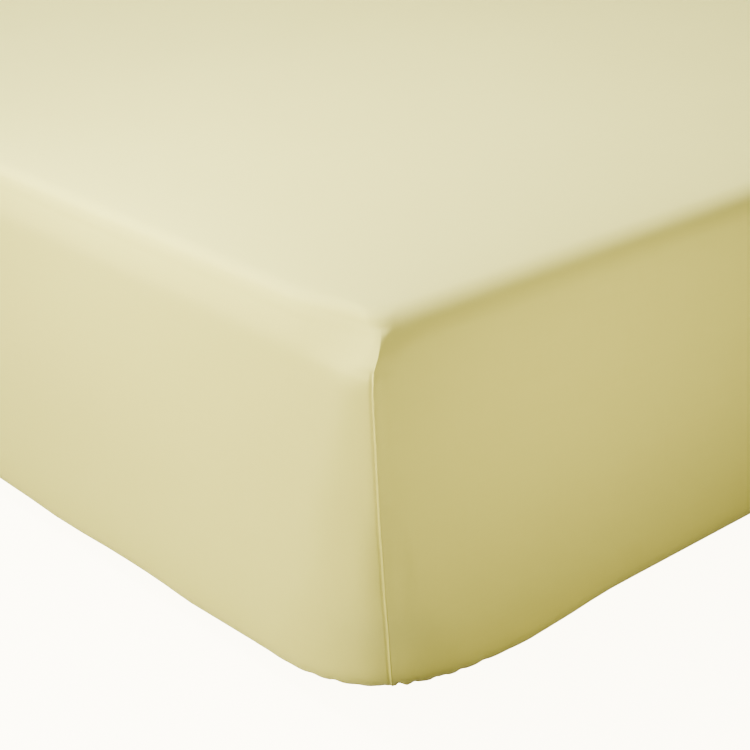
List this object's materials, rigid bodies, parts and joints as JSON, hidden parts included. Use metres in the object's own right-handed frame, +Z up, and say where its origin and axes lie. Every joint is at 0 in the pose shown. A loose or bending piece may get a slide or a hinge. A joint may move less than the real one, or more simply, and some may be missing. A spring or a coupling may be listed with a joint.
{
  "type": "fitted sheet on mattress",
  "caption": "Deep fitted bed sheet stretched smooth over a plain single mattress, with a sewn seam down each corner and a gathered hem drawn in underneath.",
  "frame": {"origin": "middle of the underside, on the surface that the mattress lies on", "axes": "+Z up, +Y along the mattress from its foot to its head, +X across it"},
  "size_m": [0.9076, 1.9076, 0.2863],
  "materials": {
    "cloth": "pale lemon plain-woven cotton, matt with a faint sheen",
    "ticking": "off-white woven ticking, matt"
  },
  "bodies": {
    "root": {"fitted_sheet": "cloth", "mattress": "ticking"}
  },
  "joints": []
}
